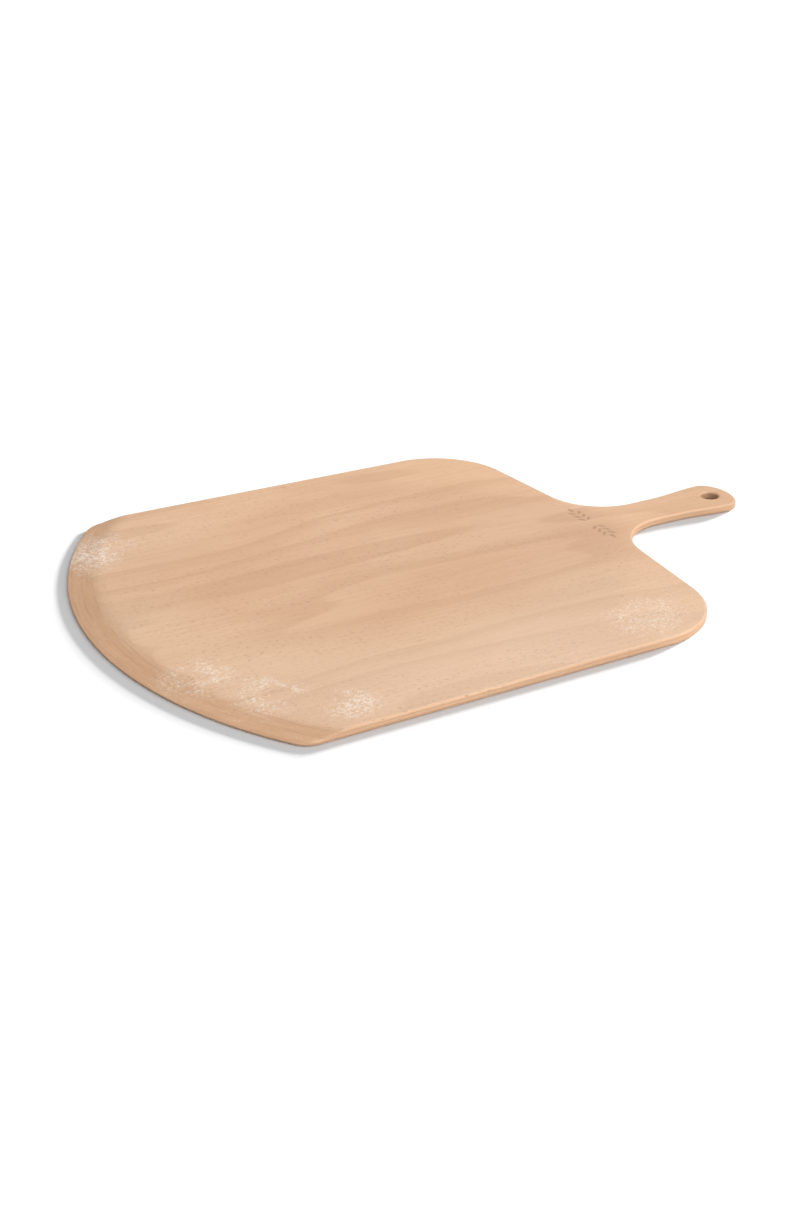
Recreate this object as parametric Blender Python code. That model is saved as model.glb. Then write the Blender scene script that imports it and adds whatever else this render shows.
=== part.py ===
"""A beech plywood pizza peel: one board of five veneers, with a bevelled leading edge and a hanging hole.

Metres, +Z up. +X points from the blade to the handle, so the blade's front edge faces -X.
The origin is the middle of the board's length and width, on its underside.
The planform is drawn with X measured from the middle of the front edge, then centred.
"""

import math

import bmesh
import bpy
from mathutils import Vector

# Blade.
LENGTH = 0.4255
FRONT_RADIUS = 0.244
FRONT_CORNER_X = 0.055
FRONT_WIDTH = 0.302
FRONT_CORNER_RADIUS = 0.014
BACK_CORNER_X = 0.3135
BACK_WIDTH = 0.297
BACK_CORNER_RADIUS = 0.050
SHOULDER_SLOPE = math.radians(5.4)

# Handle.
NECK_RADIUS = 0.036
WAIST_WIDTH = 0.0288
FLARE_START_X = 0.374
GRIP_WIDTH = 0.036
GRIP_END_LENGTH = 0.012
HOLE_FROM_END = 0.0145
HOLE_DIAMETER = 0.011

# Section.
THICKNESS = 0.005
ROUNDOVER = 0.0015
FRONT_BEVEL_WIDTH = 0.018
FRONT_EDGE_THICKNESS = 0.0016

# Veneers, from the underside up.
VENEERS = ("bottom_face_veneer", "lower_crossband", "core_veneer", "upper_crossband", "top_face_veneer")
FACE_THICKNESS = 0.0009
GLUE_LINE = 0.00004

# Fineness of the facets.
FRONT_STEP = math.radians(1.5)
CORNER_STEP = math.radians(5)
FLARE_STEPS = 10
ROUNDOVER_STEPS = 2
CUTTER_MARGIN = 0.002

BEECH = (0.72, 0.49, 0.33)
CROSSBAND_BEECH = (0.60, 0.38, 0.24)


def clear_scene():
    for obj in list(bpy.data.objects):
        bpy.data.objects.remove(obj, do_unlink=True)


def new_collection(name):
    collection = bpy.data.collections.new(name)
    bpy.context.scene.collection.children.link(collection)
    return collection


def new_object(name, mesh, collection):
    obj = bpy.data.objects.new(name, mesh)
    collection.objects.link(obj)
    return obj


def new_cutter(name, mesh, collection):
    cutter = new_object(name, mesh, collection)
    cutter.hide_render = True
    cutter.display_type = "WIRE"
    return cutter


def wood_material(name, color):
    material = bpy.data.materials.new(name)
    material.use_nodes = True
    shader = material.node_tree.nodes["Principled BSDF"]
    shader.inputs["Base Color"].default_value = (*color, 1)
    shader.inputs["Roughness"].default_value = 0.55
    shader.inputs["Metallic"].default_value = 0
    return material


def arc(center, radius, start, end, step):
    """Points on a circle from one angle to another, both included."""
    count = max(1, math.ceil(abs(end - start) / step))
    angles = [start + (end - start) * i / count for i in range(count + 1)]
    return [center + radius * Vector((math.cos(a), math.sin(a))) for a in angles]


def fillet(before, corner, after, radius):
    """The arc that rounds a corner between two straight edges."""
    back = (before - corner).normalized()
    ahead = (after - corner).normalized()
    half_angle = back.angle(ahead) / 2
    center = corner + (back + ahead).normalized() * radius / math.sin(half_angle)
    reach = radius / math.tan(half_angle)
    first = corner + back * reach - center
    last = corner + ahead * reach - center
    start = math.atan2(first.y, first.x)
    turn = math.remainder(math.atan2(last.y, last.x) - start, math.tau)
    return arc(center, radius, start, start + turn, CORNER_STEP)


def front_corner_center(front_center, side_start, side_end):
    """Centre of the corner arc that touches the front arc and the side edge from inside."""
    along = (side_end - side_start).normalized()
    inward = Vector((along.y, -along.x))
    offset = side_start + inward * FRONT_CORNER_RADIUS - front_center
    middle = -offset.dot(along)
    square = middle**2 - offset.length_squared + (FRONT_RADIUS - FRONT_CORNER_RADIUS) ** 2
    return front_center + offset + along * (middle - math.sqrt(square)), inward


def front_half():
    """Half of the front arc, from the middle to the corner, and the corner's own arc."""
    front_center = Vector((FRONT_RADIUS, 0))
    side_start = Vector((FRONT_CORNER_X, FRONT_WIDTH / 2))
    side_end = Vector((BACK_CORNER_X, BACK_WIDTH / 2))
    center, inward = front_corner_center(front_center, side_start, side_end)
    toward_corner = center - front_center
    meeting = math.atan2(toward_corner.y, toward_corner.x)
    whole_steps = math.floor((math.pi - meeting) / FRONT_STEP)
    last_whole = math.pi - whole_steps * FRONT_STEP
    front = arc(front_center, FRONT_RADIUS, math.pi, last_whole, FRONT_STEP * 1.001)
    side_angle = math.atan2(-inward.y, -inward.x)
    corner = arc(center, FRONT_CORNER_RADIUS, meeting, side_angle, CORNER_STEP)
    return front + corner


def back_half(side_start):
    """Back corner and neck, from the side edge to the start of the handle's flare."""
    corner = Vector((BACK_CORNER_X, BACK_WIDTH / 2))
    drop = corner.y - WAIST_WIDTH / 2
    neck = Vector((corner.x + drop * math.tan(SHOULDER_SLOPE), WAIST_WIDTH / 2))
    flare_start = Vector((FLARE_START_X, WAIST_WIDTH / 2))
    back_corner = fillet(side_start, corner, neck, BACK_CORNER_RADIUS)
    return back_corner + fillet(corner, neck, flare_start, NECK_RADIUS)


def handle_half():
    """The flare from the waist to the grip, and the grip's elliptical end."""
    flare_end_x = LENGTH - GRIP_END_LENGTH
    points = []
    for i in range(FLARE_STEPS):
        t = i / FLARE_STEPS
        rise = (1 - math.cos(math.pi * t)) / 2
        x = FLARE_START_X + (flare_end_x - FLARE_START_X) * t
        points.append(Vector((x, (WAIST_WIDTH + (GRIP_WIDTH - WAIST_WIDTH) * rise) / 2)))
    quarter = arc(Vector((0, 0)), 1, math.pi / 2, 0, CORNER_STEP * 1.5)
    points += [Vector((flare_end_x + GRIP_END_LENGTH * p.x, GRIP_WIDTH / 2 * p.y)) for p in quarter]
    return points


def outline():
    """The whole planform, closed and centred on the origin."""
    half = front_half()
    half += back_half(half[-1]) + handle_half()
    mirrored = [Vector((p.x, -p.y)) for p in reversed(half[1:-1])]
    return [p - Vector((LENGTH / 2, 0)) for p in half + mirrored]


def hole():
    center = Vector((LENGTH / 2 - HOLE_FROM_END, 0))
    return arc(center, HOLE_DIAMETER / 2, 0, math.tau, CORNER_STEP * 2)[:-1]


def add_spline(curve, points):
    spline = curve.splines.new("POLY")
    spline.points.add(len(points) - 1)
    for target, point in zip(spline.points, points):
        target.co = (point.x, point.y, 0, 1)
    spline.use_cyclic_u = True


def board_mesh(collection):
    """The board as one solid, with its hole and with every rim rounded over, standing on Z = 0."""
    curve = bpy.data.curves.new("board_outline", "CURVE")
    curve.dimensions = "2D"
    curve.fill_mode = "BOTH"
    curve.extrude = THICKNESS / 2 - ROUNDOVER
    curve.bevel_depth = ROUNDOVER
    curve.bevel_resolution = ROUNDOVER_STEPS
    curve.offset = -ROUNDOVER
    add_spline(curve, outline())
    add_spline(curve, hole())
    drawn = new_object("board_outline", curve, collection)
    bpy.context.view_layer.update()
    evaluated = drawn.evaluated_get(bpy.context.evaluated_depsgraph_get())
    mesh = bpy.data.meshes.new_from_object(evaluated)
    mesh.name = "board"
    body = bmesh.new()
    body.from_mesh(mesh)
    bmesh.ops.remove_doubles(body, verts=body.verts, dist=1e-6)
    bmesh.ops.translate(body, verts=body.verts, vec=(0, 0, THICKNESS / 2))
    bmesh.ops.recalc_face_normals(body, faces=body.faces)
    body.to_mesh(mesh)
    body.free()
    mesh.transform(drawn.matrix_world)
    bpy.data.objects.remove(drawn, do_unlink=True)
    mesh.shade_smooth()
    mesh.set_sharp_from_angle(angle=math.radians(35))
    return mesh


def front_bevel_cutter(collection):
    """The cone, round the front arc's centre, that keeps all of the board but what is above the bevel."""
    fall = THICKNESS - FRONT_EDGE_THICKNESS
    run = FRONT_BEVEL_WIDTH / fall
    top = THICKNESS + CUTTER_MARGIN
    low_radius = FRONT_RADIUS + (FRONT_EDGE_THICKNESS + CUTTER_MARGIN) * run
    top_radius = FRONT_RADIUS - (top - FRONT_EDGE_THICKNESS) * run
    cone = bmesh.new()
    bmesh.ops.create_cone(
        cone,
        cap_ends=True,
        segments=round(math.tau / FRONT_STEP),
        radius1=low_radius,
        radius2=top_radius,
        depth=top + CUTTER_MARGIN,
    )
    center = Vector((FRONT_RADIUS - LENGTH / 2, 0, THICKNESS / 2))
    bmesh.ops.translate(cone, verts=cone.verts, vec=center)
    mesh = bpy.data.meshes.new("front_bevel_cone")
    cone.to_mesh(mesh)
    cone.free()
    return new_cutter("front_bevel_cone", mesh, collection)


def slab_cutter(name, low, high, collection):
    """The slice of space that one veneer fills, wider than the board."""
    slab = bmesh.new()
    bmesh.ops.create_cube(slab, size=1)
    bmesh.ops.scale(slab, verts=slab.verts, vec=(LENGTH * 1.2, FRONT_WIDTH * 1.2, high - low))
    bmesh.ops.translate(slab, verts=slab.verts, vec=(0, 0, (low + high) / 2))
    mesh = bpy.data.meshes.new(name)
    slab.to_mesh(mesh)
    slab.free()
    return new_cutter(name, mesh, collection)


def keep_inside(obj, name, cutter):
    modifier = obj.modifiers.new(name, "BOOLEAN")
    modifier.operation = "INTERSECT"
    modifier.object = cutter


def veneer_levels():
    """The lowest and highest Z of each veneer, face veneers outermost."""
    inner_count = len(VENEERS) - 2
    inner = (THICKNESS - 2 * FACE_THICKNESS - (len(VENEERS) - 1) * GLUE_LINE) / inner_count
    levels = []
    low = 0
    for thickness in (FACE_THICKNESS, *[inner] * inner_count, FACE_THICKNESS):
        levels.append((low, low + thickness))
        low += thickness + GLUE_LINE
    return levels


def build_veneers(mesh, parts, cutters):
    bevel = front_bevel_cutter(cutters)
    last = len(VENEERS) - 1
    for i, (name, (low, high)) in enumerate(zip(VENEERS, veneer_levels())):
        slab_low = low - CUTTER_MARGIN if i == 0 else low
        slab_high = high + CUTTER_MARGIN if i == last else high
        veneer = new_object(name, mesh.copy(), parts)
        veneer.data.name = name
        veneer.data.materials.clear()
        veneer.data.materials.append(wood_material(f"{name}_wood", CROSSBAND_BEECH if i % 2 else BEECH))
        keep_inside(veneer, "front_bevel", bevel)
        keep_inside(veneer, "ply", slab_cutter(f"{name}_slab", slab_low, slab_high, cutters))


def main():
    clear_scene()
    parts = new_collection("pizza_peel")
    cutters = new_collection("cutters")
    board = board_mesh(parts)
    build_veneers(board, parts, cutters)
    bpy.data.meshes.remove(board)


main()
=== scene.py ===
"""The looks of a beech plywood pizza peel: five finely meshed veneers in procedural wood, on a pale floor.

Metres, in the CAD frame: +X from the blade to the handle, +Z up, origin under the middle of the board.
"""

import math

import bmesh
import bpy
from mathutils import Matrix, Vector, noise


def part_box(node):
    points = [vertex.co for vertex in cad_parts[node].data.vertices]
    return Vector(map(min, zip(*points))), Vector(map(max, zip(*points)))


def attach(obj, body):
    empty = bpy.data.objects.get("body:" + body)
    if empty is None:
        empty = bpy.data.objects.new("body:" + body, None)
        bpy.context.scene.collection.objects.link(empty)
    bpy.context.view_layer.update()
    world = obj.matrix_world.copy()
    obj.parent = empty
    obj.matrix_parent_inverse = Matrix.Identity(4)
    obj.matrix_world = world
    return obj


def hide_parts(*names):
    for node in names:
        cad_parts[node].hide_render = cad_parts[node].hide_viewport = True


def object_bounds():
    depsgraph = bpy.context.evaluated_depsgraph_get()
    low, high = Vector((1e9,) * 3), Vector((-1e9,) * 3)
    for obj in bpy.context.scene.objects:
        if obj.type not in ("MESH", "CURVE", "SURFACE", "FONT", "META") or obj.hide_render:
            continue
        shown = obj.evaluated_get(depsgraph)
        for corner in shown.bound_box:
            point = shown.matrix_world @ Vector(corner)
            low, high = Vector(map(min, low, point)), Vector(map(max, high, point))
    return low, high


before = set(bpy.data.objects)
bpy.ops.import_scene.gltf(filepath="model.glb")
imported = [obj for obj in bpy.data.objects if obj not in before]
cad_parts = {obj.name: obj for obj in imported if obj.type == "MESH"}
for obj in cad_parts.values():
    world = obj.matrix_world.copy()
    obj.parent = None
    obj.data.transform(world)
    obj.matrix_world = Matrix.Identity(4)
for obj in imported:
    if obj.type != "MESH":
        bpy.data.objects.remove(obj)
cad_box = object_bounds()

# The planform and section of the CAD board. Here X is measured from the middle of the front edge.
LENGTH = cad_box[1].x - cad_box[0].x
THICKNESS = cad_box[1].z
FRONT_RADIUS = 0.244
FRONT_CORNER_X = 0.055
FRONT_WIDTH = 0.302
FRONT_CORNER_RADIUS = 0.014
BACK_CORNER_X = 0.3135
BACK_WIDTH = 0.297
BACK_CORNER_RADIUS = 0.050
SHOULDER_SLOPE = math.radians(5.4)
NECK_RADIUS = 0.036
WAIST_WIDTH = 0.0288
FLARE_START_X = 0.374
GRIP_WIDTH = 0.036
GRIP_END_LENGTH = 0.012
HOLE_FROM_END = 0.0145
HOLE_RADIUS = 0.0055
ROUNDOVER = 0.0015
FRONT_BEVEL_WIDTH = 0.018
FRONT_EDGE_THICKNESS = 0.0016

# The CAD nodes, and the pieces here that replace them, from the underside up.
VENEERS = ("bottom_face_veneer", "lower_crossband", "core_veneer", "upper_crossband", "top_face_veneer")
PIECES = ("bottom_face_ply", "lower_cross_ply", "core_ply", "upper_cross_ply", "top_face_ply")

# Fineness of the meshes.
ARC_STEP = math.radians(1)
FRONT_STEP = ARC_STEP / 4
FLARE_STEPS = 40
RIM_SPACING = 0.0015
HOLE_POINTS = 64
ROUNDOVER_STEPS = 8
BLUNT_EDGE_SHARES = (-0.1, 0, 0.1, 0.25)

# How hand sanding softens the drawn shape. The wobble has this many features to a metre, and more along Z.
CREASE_EASE = 0.003
RIDGE_EASE = 0.0009
SANDING_WOBBLE = 0.00006
SANDING_SCALE = 70
SANDING_Z_STRETCH = 4

# How the glue lines stray from their levels, each in its own way, in waves with smaller ones on them.
GLUE_WAVE = 0.00023
GLUE_WAVE_SCALE = 22
GLUE_LINE_SHIFT = 5.3
SMALL_WAVE_SHARE = 0.5
SMALL_WAVE_SCALE = 2.7

# How far a glue line's stain reaches into a ply, how far the next ring keeps from it, and half the line's
# own thickness.
GLUE_STAIN = 0.00006
STAIN_CLEARANCE = GLUE_STAIN * 1.5
GLUE_HAIRLINE = 0.0000015

# How far inside the rim the flat part of a cap begins: on a face of the board, and on a glued side.
SMOOTH_RING = 0.0004
WAVE_RING = 0.004

FRONT_CENTER = Vector((FRONT_RADIUS - LENGTH / 2, 0))
HOLE_CENTER = Vector((LENGTH / 2 - HOLE_FROM_END, 0))


# ---------------------------------------------------------------- planform


def arc(center, radius, start, end, step=ARC_STEP):
    """Points on a circle from one angle to another, both included."""
    count = max(1, math.ceil(abs(end - start) / step))
    angles = [start + (end - start) * i / count for i in range(count + 1)]
    return [center + radius * Vector((math.cos(a), math.sin(a))) for a in angles]


def fillet(before, corner, after, radius):
    """The arc that rounds a corner between two straight edges."""
    back = (before - corner).normalized()
    ahead = (after - corner).normalized()
    half_angle = back.angle(ahead) / 2
    center = corner + (back + ahead).normalized() * radius / math.sin(half_angle)
    reach = radius / math.tan(half_angle)
    first = corner + back * reach - center
    last = corner + ahead * reach - center
    start = math.atan2(first.y, first.x)
    turn = math.remainder(math.atan2(last.y, last.x) - start, math.tau)
    return arc(center, radius, start, start + turn)


def front_half(side_start, side_end):
    """Half of the front arc, and the corner arc that touches it and the side edge from inside."""
    front_center = Vector((FRONT_RADIUS, 0))
    along = (side_end - side_start).normalized()
    inward = Vector((along.y, -along.x))
    offset = side_start + inward * FRONT_CORNER_RADIUS - front_center
    middle = -offset.dot(along)
    square = middle**2 - offset.length_squared + (FRONT_RADIUS - FRONT_CORNER_RADIUS) ** 2
    center = front_center + offset + along * (middle - math.sqrt(square))
    meeting = math.atan2(center.y, center.x - FRONT_RADIUS)
    side_angle = math.atan2(-inward.y, -inward.x)
    front = arc(front_center, FRONT_RADIUS, math.pi, meeting, FRONT_STEP)
    return front[:-1] + arc(center, FRONT_CORNER_RADIUS, meeting, side_angle)


def back_half(side_start, corner):
    """Back corner and neck, from the side edge to the start of the handle's flare."""
    drop = corner.y - WAIST_WIDTH / 2
    neck = Vector((corner.x + drop * math.tan(SHOULDER_SLOPE), WAIST_WIDTH / 2))
    flare_start = Vector((FLARE_START_X, WAIST_WIDTH / 2))
    back_corner = fillet(side_start, corner, neck, BACK_CORNER_RADIUS)
    return back_corner + fillet(corner, neck, flare_start, NECK_RADIUS)


def handle_half():
    """The flare from the waist to the grip, and the grip's elliptical end."""
    flare_end_x = LENGTH - GRIP_END_LENGTH
    points = []
    for i in range(FLARE_STEPS):
        t = i / FLARE_STEPS
        rise = (1 - math.cos(math.pi * t)) / 2
        x = FLARE_START_X + (flare_end_x - FLARE_START_X) * t
        points.append(Vector((x, (WAIST_WIDTH + (GRIP_WIDTH - WAIST_WIDTH) * rise) / 2)))
    quarter = arc(Vector((0, 0)), 1, math.pi / 2, 0)
    points += [Vector((flare_end_x + GRIP_END_LENGTH * p.x, GRIP_WIDTH / 2 * p.y)) for p in quarter]
    return points


def resampled(points, spacing):
    """A closed line with its points moved to an even spacing."""
    closed = points + points[:1]
    travel = [0]
    for a, b in zip(closed, closed[1:]):
        travel.append(travel[-1] + (b - a).length)
    count = round(travel[-1] / spacing)
    even = []
    j = 0
    for i in range(count):
        target = travel[-1] * i / count
        while travel[j + 1] < target:
            j += 1
        share = (target - travel[j]) / (travel[j + 1] - travel[j])
        even.append(closed[j].lerp(closed[j + 1], share))
    return even


def board_outline():
    """The whole planform, closed, evenly spaced and centred on the origin."""
    side_start = Vector((FRONT_CORNER_X, FRONT_WIDTH / 2))
    side_end = Vector((BACK_CORNER_X, BACK_WIDTH / 2))
    half = front_half(side_start, side_end)
    half += back_half(half[-1], side_end) + handle_half()
    mirrored = [Vector((p.x, -p.y)) for p in reversed(half[1:-1])]
    center = Vector((LENGTH / 2, 0))
    return resampled([p - center for p in half + mirrored], RIM_SPACING)


def outward_normals(points):
    """The direction out of the material at each point of a line that runs clockwise seen from above."""
    normals = []
    for i in range(len(points)):
        along = (points[(i + 1) % len(points)] - points[i - 1]).normalized()
        normals.append(Vector((-along.y, along.x)))
    return normals


# ---------------------------------------------------------------- section


def roundover_inset(z):
    """How far the rim has drawn in at a height, by the rounding along both faces."""
    depth = min(z, THICKNESS - z)
    if depth >= ROUNDOVER:
        return 0
    short = ROUNDOVER - max(depth, 0)
    return ROUNDOVER - math.sqrt(ROUNDOVER**2 - short**2)


def bevel_radius(z):
    """How far from the front arc's centre the bevel lets the board reach at a height, its crease eased."""
    slope = (THICKNESS - FRONT_EDGE_THICKNESS) / FRONT_BEVEL_WIDTH
    start = FRONT_RADIUS - FRONT_BEVEL_WIDTH
    depth = max(THICKNESS - z, 0)
    if depth < slope * CREASE_EASE:
        return start - CREASE_EASE + math.sqrt(4 * CREASE_EASE * depth / slope)
    return start + depth / slope


def soft_min(a, b, ease):
    """The smaller of two lengths, drawn down a little where they differ by less than ease."""
    overlap = max(ease - abs(a - b), 0) / ease
    return min(a, b) - overlap**2 * ease / 4


def rim_point(point, normal, z, extra=0):
    """Where the board's surface is at a height, near one point of its outline. extra moves it further in."""
    place = Vector((point.x, point.y, z * SANDING_Z_STRETCH)) * SANDING_SCALE
    wobble = SANDING_WOBBLE * (1 + noise.noise(place))
    inset = point - normal * (roundover_inset(z) + wobble + extra)
    from_center = inset - FRONT_CENTER
    reach = from_center.length
    limit = bevel_radius(z) - extra
    return FRONT_CENTER + from_center * soft_min(reach, limit, RIDGE_EASE) / reach


def hole_point(normal, z, extra=0):
    """Where the hole's wall is at a height. extra moves it further into the material."""
    return HOLE_CENTER - normal * (HOLE_RADIUS + roundover_inset(z) + extra)


def glue_levels():
    """The heights of the four glue lines, as (top of the lower ply, bottom of the upper ply).

    The CAD keeps its solids a small gap apart. Here the plies meet in the gap's middle, all but touching.
    """
    boxes = [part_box(name) for name in VENEERS]
    middles = [(lower[1].z + upper[0].z) / 2 for lower, upper in zip(boxes, boxes[1:])]
    return [(z - GLUE_HAIRLINE, z + GLUE_HAIRLINE) for z in middles]


def glue_wave(point, line):
    """How far a glue line strays from its level, because veneers are never even."""
    place = Vector((point.x * GLUE_WAVE_SCALE, point.y * GLUE_WAVE_SCALE, line * GLUE_LINE_SHIFT))
    small = noise.noise(place * SMALL_WAVE_SCALE)
    return GLUE_WAVE * (noise.noise(place) + SMALL_WAVE_SHARE * small)


def section_heights():
    """Heights of the mesh rings: fine round the rims and along the bevel's blunt edge."""
    angles = [math.pi / 2 * i / ROUNDOVER_STEPS for i in range(ROUNDOVER_STEPS + 1)]
    low = [ROUNDOVER * (1 - math.cos(a)) for a in angles]
    high = [THICKNESS - z for z in low]
    edge = [FRONT_EDGE_THICKNESS + ROUNDOVER * share for share in BLUNT_EDGE_SHARES]
    return sorted(set(low + high + edge))


def ply_heights(bottom, top):
    """The ring heights of one ply, with a close pair at each glued side to carry the glue stain."""
    heights = [bottom, top]
    if bottom > 0:
        heights.append(bottom + GLUE_STAIN)
    if top < THICKNESS:
        heights.append(top - GLUE_STAIN)
    low = bottom + STAIN_CLEARANCE
    high = top - STAIN_CLEARANCE
    heights += [z for z in section_heights() if low < z < high]
    return sorted(heights)


# ---------------------------------------------------------------- meshes

# Strengths that the meshes' points carry to the material: wear on the outermost ring of a cap, painted shade
# on the hole's wall, and the burn at an engraving's mouth. The engraving's floor has 1.
CAP_WEAR = 0.6
HOLE_PAINTED_SHADE = 0.15
ENGRAVING_MOUTH_BURN = 0.35
ENGRAVING_DEPTH = 0.00015
ENGRAVING_FLOOR_SHARE = 0.86


def add_ring(mesh, points, heights):
    return [mesh.verts.new((p.x, p.y, z)) for p, z in zip(points, heights)]


def bridge(mesh, lower, upper, smooth=True):
    """Quads between two rings of the same count."""
    for i in range(len(lower)):
        j = (i + 1) % len(lower)
        face = mesh.faces.new((lower[i], upper[i], upper[j], lower[j]))
        face.smooth = smooth


def sharpen(mesh, ring):
    """Shade the two sides of a ring apart, so that a thin glued edge isn't darkened by the face behind it."""
    for i in range(len(ring)):
        mesh.edges.get((ring[i - 1], ring[i])).smooth = False


def fill_flat(mesh, rings):
    """A flat face over everything between the rings. Rings inside the first are holes."""
    edges = []
    for ring in rings:
        for i in range(len(ring)):
            pair = (ring[i - 1], ring[i])
            edges.append(mesh.edges.get(pair) or mesh.edges.new(pair))
    made = bmesh.ops.triangle_fill(mesh, edges=edges, use_beauty=True)
    for item in made["geom"]:
        if isinstance(item, bmesh.types.BMFace):
            item.smooth = False


class Ply:
    """One veneer as a closed mesh: rings up its rim and its hole, and a flat cap on each side."""

    def __init__(self, index, outline, normals, levels):
        self.index = index
        self.outline = outline
        self.normals = normals
        self.levels = levels
        self.bottom = levels[index - 1][1] if index > 0 else 0
        self.top = levels[index][0] if index < len(levels) else THICKNESS
        self.mesh = bmesh.new()
        self.glue = self.mesh.verts.layers.float.new("glue")
        self.rim = self.mesh.verts.layers.float.new("rim")
        self.burn_and_shade = self.mesh.verts.layers.float.new("burn_and_shade")

    def wave(self, point, z):
        """The shift of a height at a point, shared out between the glue lines below and above."""
        share = (z - self.bottom) / (self.top - self.bottom)
        below = glue_wave(point, self.index - 1) if self.index > 0 else 0
        above = glue_wave(point, self.index) if self.index < len(self.levels) else 0
        return below + (above - below) * share

    def is_glued(self, z):
        return 0 < z < THICKNESS and z in (self.bottom, self.top)

    def rim_ring(self, z):
        points = []
        heights = []
        for point, normal in zip(self.outline, self.normals):
            height = z + self.wave(point, z)
            points.append(rim_point(point, normal, height))
            heights.append(height)
        ring = add_ring(self.mesh, points, heights)
        for vert in ring:
            vert[self.glue] = float(self.is_glued(z))
            vert[self.rim] = 1.0
        return ring

    def hole_ring(self, z):
        ring = add_ring(self.mesh, [hole_point(n, z) for n in hole_normals()], [z] * HOLE_POINTS)
        for vert in ring:
            vert[self.glue] = float(self.is_glued(z))
            vert[self.rim] = 1.0
            # Painted shade darkens the hole's wall.
            vert[self.burn_and_shade] = HOLE_PAINTED_SHADE
        return ring

    def cap_rings(self, z, inset):
        """The rings where the flat part of a cap begins, inside the rim and round the hole."""
        pairs = zip(self.outline, self.normals)
        rim = add_ring(self.mesh, [rim_point(p, n, z, inset) for p, n in pairs], [z] * len(self.outline))
        hole_inset = min(inset, SMOOTH_RING)
        around = [hole_point(n, z, hole_inset) for n in hole_normals()]
        hole = add_ring(self.mesh, around, [z] * HOLE_POINTS)
        for vert in rim + hole:
            vert[self.rim] = CAP_WEAR
        return rim, hole

    def close(self, rim, hole, z, engraving=()):
        inset = WAVE_RING if self.is_glued(z) else SMOOTH_RING
        cap_rim, cap_hole = self.cap_rings(z, inset)
        bridge(self.mesh, rim, cap_rim)
        bridge(self.mesh, hole, cap_hole)
        if self.is_glued(z):
            sharpen(self.mesh, rim)
            sharpen(self.mesh, hole)
        fill_flat(self.mesh, [cap_rim, cap_hole, *engraving])

    def build(self, engraving_shapes=()):
        heights = ply_heights(self.bottom, self.top)
        rims = [self.rim_ring(z) for z in heights]
        holes = [self.hole_ring(z) for z in heights]
        for rings in (rims, holes):
            for lower, upper in zip(rings, rings[1:]):
                bridge(self.mesh, lower, upper)
        self.close(rims[0], holes[0], heights[0])
        engraved = [self.engrave(shape) for shape in engraving_shapes]
        self.close(rims[-1], holes[-1], heights[-1], engraved)
        bmesh.ops.recalc_face_normals(self.mesh, faces=self.mesh.faces)
        data = bpy.data.meshes.new(PIECES[self.index])
        self.mesh.to_mesh(data)
        self.mesh.free()
        return data

    def engrave(self, shape):
        """A shallow pocket in the top face, with sloped walls. It returns the ring at its mouth."""
        center = sum(shape, Vector((0, 0))) / len(shape)
        mouth = add_ring(self.mesh, shape, [THICKNESS] * len(shape))
        floor_points = [center + (p - center) * ENGRAVING_FLOOR_SHARE for p in shape]
        floor = add_ring(self.mesh, floor_points, [THICKNESS - ENGRAVING_DEPTH] * len(shape))
        bridge(self.mesh, mouth, floor, smooth=False)
        fill_flat(self.mesh, [floor])
        for vert in floor:
            vert[self.burn_and_shade] = 1.0
        for vert in mouth:
            vert[self.burn_and_shade] = ENGRAVING_MOUTH_BURN
        return mouth


def hole_normals():
    """Directions from the hole's wall into its middle, which is out of the material."""
    angles = [math.tau * i / HOLE_POINTS for i in range(HOLE_POINTS)]
    return [Vector((math.cos(a), math.sin(a))) for a in angles]


# ---------------------------------------------------------------- generic engraving: two ears of wheat

SPRIG_X = 0.320 - LENGTH / 2
SPRIG_START = 0.0035
LEAF_PAIRS = 3
LEAF_PITCH = 0.0052
LEAF_LENGTH = 0.0066
LEAF_WIDTH = 0.0024
LEAF_POINTS = 12
LEAF_FULLNESS = 0.8
LEAF_LEAN = (0.60, 0.80)


def leaf(root, direction, length, width):
    """A pointed oval from its root outwards."""
    side = Vector((-direction.y, direction.x))
    right = []
    left = []
    for i in range(LEAF_POINTS + 1):
        t = i / LEAF_POINTS
        bulge = math.sin(math.pi * t) ** LEAF_FULLNESS * width / 2
        right.append(root + direction * length * t - side * bulge)
        left.append(root + direction * length * t + side * bulge)
    return right + left[-2:0:-1]


def sprig_shapes():
    """Two mirrored ears that grow out from the board's axis: paired leaves, and one at each tip."""
    shapes = []
    for turn in (-1, 1):
        for i in range(LEAF_PAIRS):
            root = Vector((SPRIG_X, turn * (SPRIG_START + LEAF_PITCH * i)))
            for side in (-1, 1):
                lean = Vector((side * LEAF_LEAN[0], turn * LEAF_LEAN[1]))
                shapes.append(leaf(root + lean * LEAF_WIDTH / 3, lean, LEAF_LENGTH, LEAF_WIDTH))
        tip = Vector((SPRIG_X, turn * (SPRIG_START + LEAF_PITCH * LEAF_PAIRS)))
        shapes.append(leaf(tip, Vector((0, turn)), LEAF_LENGTH, LEAF_WIDTH))
    return shapes


# ---------------------------------------------------------------- wood

PALE_BEECH = (0.650, 0.427, 0.273)
ROSY_BEECH = (0.615, 0.385, 0.242)
TAN_BEECH = (0.580, 0.352, 0.205)
# The bevel's colour: the cut plies' own tone, darkened further with painted shade.
BEVEL_PLIES_AND_SHADE_BEECH = (0.520, 0.300, 0.165)
CROSSBAND_BEECH = (0.540, 0.330, 0.195)
RING_BEECH = (0.450, 0.255, 0.140)
STREAK_BEECH = (0.480, 0.280, 0.160)
FLECK_BEECH = (0.270, 0.135, 0.070)
END_GRAIN_BEECH = (0.430, 0.245, 0.145)
WORN_BEECH = (0.470, 0.280, 0.155)
GLUE_BROWN = (0.270, 0.145, 0.075)
# Burnt wood for the engraving, also used as painted shade on the hole's wall.
BURNT_AND_SHADED_BEECH = (0.230, 0.125, 0.075)
FLOUR = (0.830, 0.790, 0.710)

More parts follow.
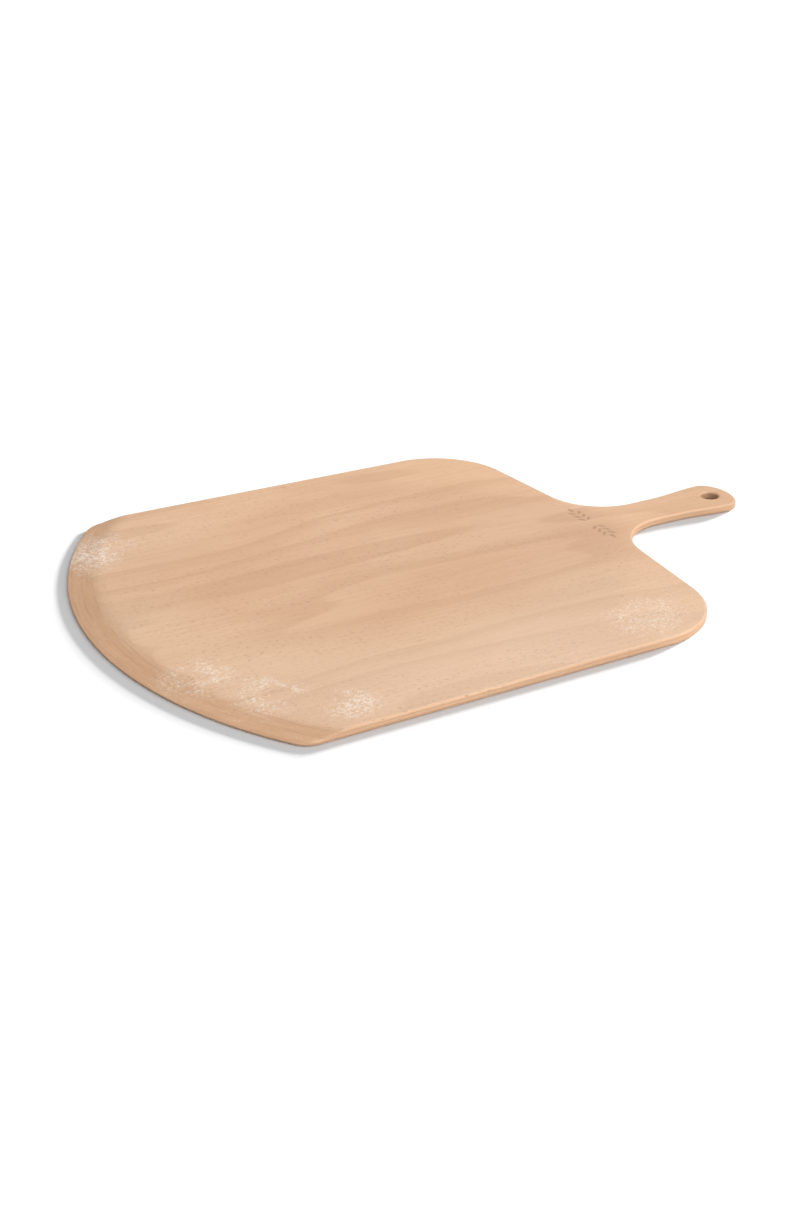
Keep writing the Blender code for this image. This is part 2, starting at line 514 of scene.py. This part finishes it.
# Sizes of the grain's features, as how many there are to a metre along the grain, across it and through it.
SWAY_SCALE = (7, 16, 40)
RING_SCALE = (2.3, 11, 30)
STREAK_SCALE = (14, 420, 420)
FIBRE_SCALE = (90, 3200, 3200)
FLECK_SCALE = (230, 1150, 1150)
FLECKED_SCALE = (11, 26, 60)
PORE_SCALE = (1300, 5200, 5200)

# The same along the board's own axes.
MOTTLE_SCALE = (9, 13, 20)
CLOUD_SCALE = (3.0, 4.5, 5)
GLUE_BREAK_SCALE = (34, 34, 34)

# How the fibres sway sideways, in metres. How many rings come with each metre across and through the grain,
# how far they wander, and where in a ring its dark edge starts and is darkest.
SWAY = 0.010
RING_DRIFT = 16
RING_DEPTH = 420
RING_WANDER = 9
RING_START = 0.25
RING_CREST = 0.93

# Each veneer's grain starts somewhere else.
VENEER_SHIFT = (0.37, 0.19)
VENEER_RING_SHIFT = 1.7

# A fleck's size in its cell, the part of it that is full, and how many flecks stay where they are rare.
FLECK_LEAST_SIZE = 0.06
FLECK_SIZE_RANGE = 0.34
FLECK_CORE = 0.65
FLECKED_RANGE = 0.75
FLECKED_LEAST = 0.25

# Where each feature starts and where it is full, as values of the noise, distance or slope that drives it.
ROSY_FROM_TO = (0.30, 0.72)
TAN_FROM_TO = (0.35, 0.70)
STREAKS_FROM_TO = (0.35, 0.75)
FIBRES_FROM_TO = (0.42, 0.70)
FLECKED_FROM_TO = (0.36, 0.62)
PORE_EDGE_FROM_TO = (0.34, 0.12)
PORE_CHANCE_FROM_TO = (0.4, 0.6)
END_GRAIN_FROM_TO = (0.45, 0.95)
RIM_WEAR_FROM_TO = (0.38, 0.60)
GLUE_FROM_TO = (0.40, 0.66)

# How strongly each feature covers the wood under it.
TAN_SHARE = 0.45
CROSSBAND_SHARE = 0.40
RING_SHARE = 0.30
STREAK_SHARE = 0.25
FIBRE_SHARE = 0.24
FLECK_SHARE = 0.50
PORE_SHARE = 0.18
END_GRAIN_SHARE = 0.30
BEVEL_PLIES_AND_SHADE_SHARE = 0.50
BEVEL_STREAK_SHARE = 0.45
HANDLED_SHARE = 0.40
RIM_WEAR_SHARE = 0.16
GLUE_SHARE = 0.50
GLUE_LEAST_SHARE = 0.05
BURN_AND_SHADE_SHARE = 0.52
FLOUR_SHARE = 0.72

# The handle is a little darker from this X on, where hands have held it.
HANDLED_FROM = 0.14

# The bare wood's roughness, and what each feature adds to it.
ROUGHNESS = 0.47
MOST_ROUGHNESS = 0.95
STREAK_ROUGHNESS = 0.16
FLECK_ROUGHNESS = -0.08
FLOUR_ROUGHNESS = 0.30

# What each feature adds to the surface's height, as shares of the bump's depth in metres.
FIBRE_HEIGHT = 0.55
STREAK_HEIGHT = 0.35
FLECK_HEIGHT = -0.30
PORE_HEIGHT = -0.45
RING_HEIGHT = 0.25
FLOUR_HEIGHT = 0.8
BUMP_STRENGTH = 0.55
BUMP_DEPTH = 0.00009
SPECULAR = 0.38


class Graph:
    """Short calls for building a material's nodes."""

    def __init__(self, name):
        self.material = bpy.data.materials.new(name)
        self.material.use_nodes = True
        self.tree = self.material.node_tree
        self.shader = self.tree.nodes["Principled BSDF"]

    def node(self, kind, **settings):
        made = self.tree.nodes.new(kind)
        for key, value in settings.items():
            setattr(made, key, value)
        return made

    def feed(self, socket, value):
        if isinstance(value, bpy.types.NodeSocket):
            self.tree.links.new(value, socket)
        elif isinstance(value, (tuple, list)) and len(socket.default_value) == 4:
            socket.default_value = (*value, 1)
        else:
            socket.default_value = value

    def math(self, operation, a, b=0.0, c=0.0):
        made = self.node("ShaderNodeMath", operation=operation)
        for socket, value in zip(made.inputs, (a, b, c)):
            self.feed(socket, value)
        return made.outputs[0]

    def stretch(self, vector, scale):
        made = self.node("ShaderNodeVectorMath", operation="MULTIPLY")
        self.feed(made.inputs[0], vector)
        made.inputs[1].default_value = scale
        return made.outputs[0]

    def noise(self, vector, detail=2.0, roughness=0.5, color=False):
        made = self.node("ShaderNodeTexNoise")
        self.feed(made.inputs["Vector"], vector)
        made.inputs["Scale"].default_value = 1
        made.inputs["Detail"].default_value = detail
        made.inputs["Roughness"].default_value = roughness
        return made.outputs["Color" if color else "Fac"]

    def cells(self, vector):
        """Distance to the nearest cell centre, and a random value for that cell."""
        made = self.node("ShaderNodeTexVoronoi", feature="F1")
        self.feed(made.inputs["Vector"], vector)
        made.inputs["Scale"].default_value = 1
        split = self.node("ShaderNodeSeparateColor")
        self.feed(split.inputs[0], made.outputs["Color"])
        return made.outputs["Distance"], split.outputs[0]

    def step(self, value, low, high):
        """0 below low, 1 above high and smooth between. low above high turns it over."""
        made = self.node("ShaderNodeMapRange", interpolation_type="SMOOTHSTEP")
        self.feed(made.inputs["Value"], value)
        self.feed(made.inputs["From Min"], low)
        self.feed(made.inputs["From Max"], high)
        return made.outputs[0]

    def mix(self, factor, a, b):
        made = self.node("ShaderNodeMix", data_type="RGBA")
        self.feed(made.inputs[0], factor)
        self.feed(made.inputs[6], a)
        self.feed(made.inputs[7], b)
        return made.outputs[2]

    def attribute(self, name):
        return self.node("ShaderNodeAttribute", attribute_name=name).outputs["Fac"]


def grain_space(graph, across):
    """Object coordinates turned so that the first axis runs along the grain."""
    place = graph.node("ShaderNodeTexCoord").outputs["Object"]
    if not across:
        return place
    turn = graph.node("ShaderNodeMapping")
    graph.feed(turn.inputs["Vector"], place)
    turn.inputs["Rotation"].default_value = (0, 0, math.pi / 2)
    return turn.outputs[0]


def shifted(graph, vector, offset):
    made = graph.node("ShaderNodeVectorMath", operation="ADD")
    graph.feed(made.inputs[0], vector)
    made.inputs[1].default_value = offset
    return made.outputs[0]


def bent(graph, vector):
    """Grain coordinates with the slow sway that real fibres have."""
    sway = graph.noise(graph.stretch(vector, SWAY_SCALE), detail=1, color=True)
    centred = shifted(graph, sway, (-0.5, -0.5, -0.5))
    small = graph.stretch(centred, (0, SWAY, 0))
    made = graph.node("ShaderNodeVectorMath", operation="ADD")
    graph.feed(made.inputs[0], vector)
    graph.feed(made.inputs[1], small)
    return made.outputs[0]


def ring_figure(graph, vector, layer):
    """The broad, wandering bands of peeled beech, 0 in pale wood and 1 at a ring's dark edge."""
    slow = graph.noise(graph.stretch(vector, RING_SCALE), detail=2, roughness=0.45)
    parts = graph.node("ShaderNodeSeparateXYZ")
    graph.feed(parts.inputs[0], vector)
    drift = graph.math("MULTIPLY", parts.outputs["Y"], RING_DRIFT)
    depth = graph.math("MULTIPLY_ADD", parts.outputs["Z"], RING_DEPTH, layer * VENEER_RING_SHIFT)
    total = graph.math("MULTIPLY_ADD", slow, RING_WANDER, graph.math("ADD", drift, depth))
    phase = graph.math("FRACT", total)
    rising = graph.step(phase, RING_START, RING_CREST)
    falling = graph.step(phase, 1, RING_CREST)
    return graph.math("MULTIPLY", rising, falling)


def end_grain(graph, across):
    """1 where the surface cuts across the fibres and 0 where it runs along them."""
    facing = graph.node("ShaderNodeSeparateXYZ")
    graph.feed(facing.inputs[0], graph.node("ShaderNodeNewGeometry").outputs["Normal"])
    along = facing.outputs["Y" if across else "X"]
    return graph.step(graph.math("ABSOLUTE", along), *END_GRAIN_FROM_TO)


# ---------------------------------------------------------------- flour and bevel

# Where flour lies thickest, and where a thin film of it covers more of the top. Each row has its share of
# the length from the front, its share of the half width, its radius in metres and its strength.
FLOUR_PATCHES = (
    (0.098, 0.74, 0.040, 0.75),
    (0.066, 0.60, 0.034, 0.45),
    (0.075, -0.45, 0.032, 0.85),
    (0.134, -0.67, 0.028, 0.95),
    (0.205, -0.86, 0.026, 0.80),
    (0.635, -0.82, 0.040, 0.54),
    (0.684, -0.68, 0.028, 0.25),
)
FLOUR_FILMS = (
    (0.100, 0.70, 0.090, 0.06),
    (0.030, 0.05, 0.070, 0.09),
    (0.160, -0.72, 0.100, 0.13),
    (0.400, -0.90, 0.100, 0.14),
    (0.640, -0.80, 0.120, 0.13),
)

# The share of a patch's radius that is full, how much haze a film adds, and how much of it the bevel loses.
PATCH_CORE = 0.15
FILM_HAZE = 1.3
FILM_OFF_BEVEL = 0.85

# Drifts break up a patch, and clumps break up the drifts, into haze and specks.
DRIFT_SCALE = (48, 48, 48)
CLUMP_SCALE = (520, 520, 520)
DRIFTS_FROM_TO = (0.28, 0.56)
HAZE_FROM_TO = (0.36, 0.66)
SPECKS_FROM_TO = (0.30, 0.58)
HAZE_POWER = 1.6
HAZE_SHARE = 0.85
SPECK_SHARE = 0.90

# Each kind of speck: how many of its cells may hold one, cells per metre, and where its pattern starts.
COARSE_SPECKS = (0.45, 680, (3.1, 1.7, 0.4))
FINE_SPECKS = (0.80, 1150, (7.9, 4.3, 2.6))
SPECK_LEAST_SIZE = 0.22
SPECK_SIZE_RANGE = 0.8
SPECK_CORE = 0.5

# The upward part of a surface's normal, from where flour starts to lie on it to where it all does.
FACING_UP_FROM_TO = (0.75, 0.95)

# The bevel's streaks: how many to a radian round the front arc, and to a metre towards it. The bevel's tint,
# partly the cut plies' own colour and partly painted shade for the bevel's slope away from the light, starts
# this far before the bevel's inner edge, and is full this far past it.
STREAKS_AROUND = 11
STREAKS_INWARD = 900
BEVEL_STREAKS_FROM_TO = (0.46, 0.60)
TINT_BEFORE_EDGE = 0.001
TINT_PAST_EDGE = 0.008


def facing_up(graph):
    """1 on surfaces that face up and 0 on the rim's sides."""
    facing = graph.node("ShaderNodeSeparateXYZ")
    graph.feed(facing.inputs[0], graph.node("ShaderNodeNewGeometry").outputs["Normal"])
    return graph.step(facing.outputs["Z"], *FACING_UP_FROM_TO)


def flour_grains(graph, place, density, kind):
    """Specks of powder, one to a cell at most, and in more of the cells where density is higher."""
    share, scale, offset = kind
    distance, chance = graph.cells(shifted(graph, graph.stretch(place, (scale, scale, scale)), offset))
    there = graph.math("LESS_THAN", chance, graph.math("MULTIPLY", density, share))
    size = graph.math("MULTIPLY_ADD", chance, SPECK_SIZE_RANGE, SPECK_LEAST_SIZE)
    inner = graph.math("MULTIPLY", size, SPECK_CORE)
    return graph.math("MULTIPLY", graph.step(distance, size, inner), there)


def nearness(graph, place, patches):
    """The strengths of all patches added up, each one fading out from its centre."""
    total = 0.0
    for length_share, width_share, size, strength in patches:
        spot = (LENGTH * (length_share - 0.5), FRONT_WIDTH / 2 * width_share, THICKNESS)
        away = graph.node("ShaderNodeVectorMath", operation="DISTANCE")
        graph.feed(away.inputs[0], place)
        away.inputs[1].default_value = spot
        near = graph.step(away.outputs["Value"], size, size * PATCH_CORE)
        total = graph.math("MULTIPLY_ADD", near, strength, total)
    return total


def flour_dust(graph, place, on_bevel):
    """Leftover flour on what faces up: uneven haze, loose specks and a thin film that keeps off the bevel."""
    film = nearness(graph, place, FLOUR_FILMS)
    total = graph.math("MULTIPLY_ADD", film, FILM_HAZE, nearness(graph, place, FLOUR_PATCHES))
    film = graph.math("MULTIPLY", film, graph.math("MULTIPLY_ADD", on_bevel, -FILM_OFF_BEVEL, 1))
    drifts = graph.noise(graph.stretch(place, DRIFT_SCALE), detail=5, roughness=0.68)
    clumps = graph.noise(graph.stretch(place, CLUMP_SCALE), detail=4, roughness=0.7)
    amount = graph.math("MULTIPLY", total, graph.step(drifts, *DRIFTS_FROM_TO))
    thick = graph.math("POWER", amount, HAZE_POWER)
    haze = graph.math("MULTIPLY", thick, graph.step(clumps, *HAZE_FROM_TO))
    density = graph.math("MULTIPLY", amount, graph.step(clumps, *SPECKS_FROM_TO))
    coarse = flour_grains(graph, place, density, COARSE_SPECKS)
    fine = flour_grains(graph, place, density, FINE_SPECKS)
    specks = graph.math("MULTIPLY", graph.math("MAXIMUM", coarse, fine), SPECK_SHARE)
    dust = graph.math("MAXIMUM", graph.math("MULTIPLY", haze, HAZE_SHARE), specks)
    dust = graph.math("MAXIMUM", film, dust)
    return graph.math("MULTIPLY", dust, facing_up(graph))


def bevel_streaks(graph, place):
    """Fine broken lines round the front bevel, where it cuts slantwise through the plies, and its extent."""
    around = graph.node("ShaderNodeVectorMath", operation="SUBTRACT")
    graph.feed(around.inputs[0], graph.stretch(place, (1, 1, 0)))
    around.inputs[1].default_value = (FRONT_CENTER.x, FRONT_CENTER.y, 0)
    parts = graph.node("ShaderNodeSeparateXYZ")
    graph.feed(parts.inputs[0], around.outputs[0])
    span = graph.node("ShaderNodeVectorMath", operation="LENGTH")
    graph.feed(span.inputs[0], around.outputs[0])
    radius = span.outputs["Value"]
    angle = graph.math("ARCTAN2", parts.outputs["Y"], graph.math("MULTIPLY", parts.outputs["X"], -1))
    joined = graph.node("ShaderNodeCombineXYZ")
    graph.feed(joined.inputs[0], graph.math("MULTIPLY", angle, STREAKS_AROUND))
    graph.feed(joined.inputs[1], graph.math("MULTIPLY", radius, STREAKS_INWARD))
    lines = graph.noise(joined.outputs[0], detail=3, roughness=0.65)
    start = FRONT_RADIUS - FRONT_BEVEL_WIDTH
    in_reach = graph.step(radius, start - TINT_BEFORE_EDGE, start + TINT_PAST_EDGE)
    on_bevel = graph.math("MULTIPLY", in_reach, facing_up(graph))
    streaked = graph.math("MULTIPLY", graph.step(lines, *BEVEL_STREAKS_FROM_TO), on_bevel)
    return streaked, on_bevel


def beech(name, index):
    """Sanded, unvarnished beech. Odd plies are crossbands, whose grain runs across the blade."""
    across = index % 2 == 1
    graph = Graph(name)
    place = graph.node("ShaderNodeTexCoord").outputs["Object"]
    shift = (VENEER_SHIFT[0] * index, VENEER_SHIFT[1] * index, 0)
    straight = shifted(graph, grain_space(graph, across), shift)
    grain = bent(graph, straight)

    rings = ring_figure(graph, grain, index)
    streaks = graph.noise(graph.stretch(grain, STREAK_SCALE), detail=3, roughness=0.6)
    fibres = graph.noise(graph.stretch(grain, FIBRE_SCALE), detail=2, roughness=0.6)
    fleck_distance, fleck_random = graph.cells(graph.stretch(grain, FLECK_SCALE))
    fleck_size = graph.math("MULTIPLY_ADD", fleck_random, FLECK_SIZE_RANGE, FLECK_LEAST_SIZE)
    full_size = graph.math("MULTIPLY", fleck_size, FLECK_CORE)
    flecks = graph.step(fleck_distance, fleck_size, full_size)
    flecked = graph.step(graph.noise(graph.stretch(grain, FLECKED_SCALE), detail=2), *FLECKED_FROM_TO)
    flecked = graph.math("MULTIPLY_ADD", flecked, FLECKED_RANGE, FLECKED_LEAST)
    flecks = graph.math("MULTIPLY", flecks, flecked)
    pore_distance, pore_random = graph.cells(graph.stretch(grain, PORE_SCALE))
    pores = graph.step(pore_distance, *PORE_EDGE_FROM_TO)
    pores = graph.math("MULTIPLY", pores, graph.step(pore_random, *PORE_CHANCE_FROM_TO))
    mottle = graph.noise(graph.stretch(place, MOTTLE_SCALE), detail=3, roughness=0.55)
    cloud = graph.noise(graph.stretch(place, CLOUD_SCALE), detail=1)

    color = graph.mix(graph.step(mottle, *ROSY_FROM_TO), PALE_BEECH, ROSY_BEECH)
    tan = graph.math("MULTIPLY", graph.step(cloud, *TAN_FROM_TO), TAN_SHARE)
    color = graph.mix(tan, color, TAN_BEECH)
    if across:
        color = graph.mix(CROSSBAND_SHARE, color, CROSSBAND_BEECH)
    color = graph.mix(graph.math("MULTIPLY", rings, RING_SHARE), color, RING_BEECH)
    streaky = graph.math("MULTIPLY", graph.step(streaks, *STREAKS_FROM_TO), STREAK_SHARE)
    color = graph.mix(streaky, color, STREAK_BEECH)
    fibrous = graph.math("MULTIPLY", graph.step(fibres, *FIBRES_FROM_TO), FIBRE_SHARE)
    color = graph.mix(fibrous, color, STREAK_BEECH)
    color = graph.mix(graph.math("MULTIPLY", flecks, FLECK_SHARE), color, FLECK_BEECH)
    color = graph.mix(graph.math("MULTIPLY", pores, PORE_SHARE), color, FLECK_BEECH)
    end = end_grain(graph, across)
    color = graph.mix(graph.math("MULTIPLY", end, END_GRAIN_SHARE), color, END_GRAIN_BEECH)

    streaked, on_bevel = bevel_streaks(graph, place)
    # The bevel is darkened, partly by the cut plies' own colour and partly by painted shade for its slope
    # away from the light.
    color = graph.mix(graph.math("MULTIPLY", on_bevel, BEVEL_PLIES_AND_SHADE_SHARE), color, BEVEL_PLIES_AND_SHADE_BEECH)
    color = graph.mix(graph.math("MULTIPLY", streaked, BEVEL_STREAK_SHARE), color, RING_BEECH)

    length_wise = graph.node("ShaderNodeSeparateXYZ")
    graph.feed(length_wise.inputs[0], place)
    handled = graph.step(length_wise.outputs["X"], HANDLED_FROM, LENGTH / 2)
    color = graph.mix(graph.math("MULTIPLY", handled, HANDLED_SHARE), color, WORN_BEECH)
    rim = graph.attribute("rim")
    worn = graph.math("MULTIPLY", rim, graph.step(mottle, *RIM_WEAR_FROM_TO))
    color = graph.mix(graph.math("MULTIPLY", worn, RIM_WEAR_SHARE), color, WORN_BEECH)
    glue = graph.attribute("glue")
    breaks = graph.noise(graph.stretch(place, GLUE_BREAK_SCALE), detail=5, roughness=0.62)
    broken = graph.step(breaks, *GLUE_FROM_TO)
    stain = graph.math("MULTIPLY", glue, graph.math("MULTIPLY_ADD", broken, GLUE_SHARE, GLUE_LEAST_SHARE))
    color = graph.mix(stain, color, GLUE_BROWN)
    # The engraving's burn, and painted shade on the hole's wall.
    burn_and_shade = graph.math("MULTIPLY", graph.attribute("burn_and_shade"), BURN_AND_SHADE_SHARE)
    color = graph.mix(burn_and_shade, color, BURNT_AND_SHADED_BEECH)

    roughness = graph.math("MULTIPLY_ADD", streaks, STREAK_ROUGHNESS, ROUGHNESS)
    roughness = graph.math("MULTIPLY_ADD", flecks, FLECK_ROUGHNESS, roughness)
    height = graph.math("MULTIPLY", streaks, STREAK_HEIGHT)
    rises = ((fibres, FIBRE_HEIGHT), (flecks, FLECK_HEIGHT), (pores, PORE_HEIGHT), (rings, RING_HEIGHT))
    for feature, rise in rises:
        height = graph.math("MULTIPLY_ADD", feature, rise, height)
    if index > 0:
        dust = flour_dust(graph, place, on_bevel)
        color = graph.mix(graph.math("MULTIPLY", dust, FLOUR_SHARE), color, FLOUR)
        roughness = graph.math("MULTIPLY_ADD", dust, FLOUR_ROUGHNESS, roughness)
        height = graph.math("MULTIPLY_ADD", dust, FLOUR_HEIGHT, height)

    bump = graph.node("ShaderNodeBump")
    bump.inputs["Strength"].default_value = BUMP_STRENGTH
    bump.inputs["Distance"].default_value = BUMP_DEPTH
    graph.feed(bump.inputs["Height"], height)
    graph.feed(graph.shader.inputs["Base Color"], color)
    graph.feed(graph.shader.inputs["Roughness"], graph.math("MINIMUM", roughness, MOST_ROUGHNESS))
    graph.feed(graph.shader.inputs["Normal"], bump.outputs[0])
    graph.shader.inputs["Specular IOR Level"].default_value = SPECULAR
    return graph.material


def build_board():
    outline = board_outline()
    normals = outward_normals(outline)
    levels = glue_levels()
    pieces = []
    for index, (piece_name, node) in enumerate(zip(PIECES, VENEERS)):
        ply = Ply(index, outline, normals, levels)
        is_top = index == len(VENEERS) - 1
        data = ply.build(sprig_shapes() if is_top else ())
        data.materials.append(beech(f"{piece_name}_beech", index))
        piece = bpy.data.objects.new(piece_name, data)
        bpy.context.scene.collection.objects.link(piece)
        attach(piece, "root")
        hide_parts(node)
        pieces.append(piece)
    return pieces


# ---------------------------------------------------------------- stage, light and camera

AZIMUTH = math.radians(-29.0)
ELEVATION = math.radians(25.83)
DISTANCE = 0.9485
AIM = Vector((-0.0451, -0.0335, 0))
CLIP_START = 0.01

# In millimetres.
LENS = 50.65
SENSOR_WIDTH = 36

# How bright the backdrop is as a light, and to look at.
WORLD_LIGHT = 0.42
WORLD_SEEN = 1.0

FLOOR_SIZE = 30
FLOOR_GAP = 0.0001
FLOOR_PAINT = (0.71, 0.71, 0.715)
FLOOR_ROUGHNESS = 0.9
FLOOR_SPECULAR = 0.1

# A low sun gives the floor its long shadow, a high lamp models the board, and a broad fill lights both.
FLOOR_KEY_SOURCE = (0.97, 0.25, 0.175)
FLOOR_KEY_POWER = 15.5
FLOOR_KEY_ANGLE = math.radians(9)
BOARD_KEY_SOURCE = (0.9, 0.08, 1.4)
BOARD_KEY_POWER = 20.0
BOARD_KEY_SIZE = 1.0
FILL_SOURCE = (0.2, -0.85, 0.5)
FILL_POWER = 2.35
FILL_ANGLE = math.radians(60)


def pointed(obj, location, target):
    obj.location = location
    obj.rotation_mode = "QUATERNION"
    obj.rotation_quaternion = (Vector(target) - Vector(location)).to_track_quat("-Z", "Y")


def add_camera():
    data = bpy.data.cameras.new("camera")
    data.lens = LENS
    data.sensor_width = SENSOR_WIDTH
    data.clip_start = CLIP_START
    camera = bpy.data.objects.new("camera", data)
    bpy.context.scene.collection.objects.link(camera)
    flat = math.cos(ELEVATION)
    back = Vector((math.sin(AZIMUTH) * flat, -math.cos(AZIMUTH) * flat, math.sin(ELEVATION)))
    pointed(camera, AIM + back * DISTANCE, AIM)
    bpy.context.scene.camera = camera


def add_light(name, kind, source, power, lit=None, **settings):
    """A light that points from source to the board's middle. It lights all, or only the objects in lit."""
    data = bpy.data.lights.new(name, kind)
    data.energy = power
    for key, value in settings.items():
        setattr(data, key, value)
    light = bpy.data.objects.new(name, data)
    bpy.context.scene.collection.objects.link(light)
    pointed(light, source, (0, 0, 0))
    if lit:
        receivers = bpy.data.collections.new(f"{name}_lights")
        for obj in lit:
            receivers.objects.link(obj)
        light.light_linking.receiver_collection = receivers


def add_world():
    """A white backdrop to look at, which lights the board more weakly."""
    world = bpy.data.worlds.new("studio")
    world.use_nodes = True
    tree = world.node_tree
    background = tree.nodes["Background"]
    background.inputs["Color"].default_value = (1, 1, 1, 1)
    seen = tree.nodes.new("ShaderNodeLightPath").outputs["Is Camera Ray"]
    strength = tree.nodes.new("ShaderNodeMapRange")
    tree.links.new(seen, strength.inputs["Value"])
    strength.inputs["To Min"].default_value = WORLD_LIGHT
    strength.inputs["To Max"].default_value = WORLD_SEEN
    tree.links.new(strength.outputs[0], background.inputs["Strength"])
    bpy.context.scene.world = world


def add_stage(pieces):
    bpy.ops.mesh.primitive_plane_add(size=FLOOR_SIZE)
    floor = bpy.context.object
    floor.name = "floor"
    floor.location.z = -FLOOR_GAP
    graph = Graph("floor_paint")
    graph.shader.inputs["Base Color"].default_value = (*FLOOR_PAINT, 1)
    graph.shader.inputs["Roughness"].default_value = FLOOR_ROUGHNESS
    graph.shader.inputs["Specular IOR Level"].default_value = FLOOR_SPECULAR
    floor.data.materials.append(graph.material)
    add_world()
    add_light("floor_key", "SUN", FLOOR_KEY_SOURCE, FLOOR_KEY_POWER, [floor], angle=FLOOR_KEY_ANGLE)
    add_light("board_key", "AREA", BOARD_KEY_SOURCE, BOARD_KEY_POWER, pieces, size=BOARD_KEY_SIZE)
    add_light("front_fill", "SUN", FILL_SOURCE, FILL_POWER, angle=FILL_ANGLE)
    bpy.context.scene.view_settings.view_transform = "Standard"


board_pieces = build_board()
add_camera()
add_stage(board_pieces)
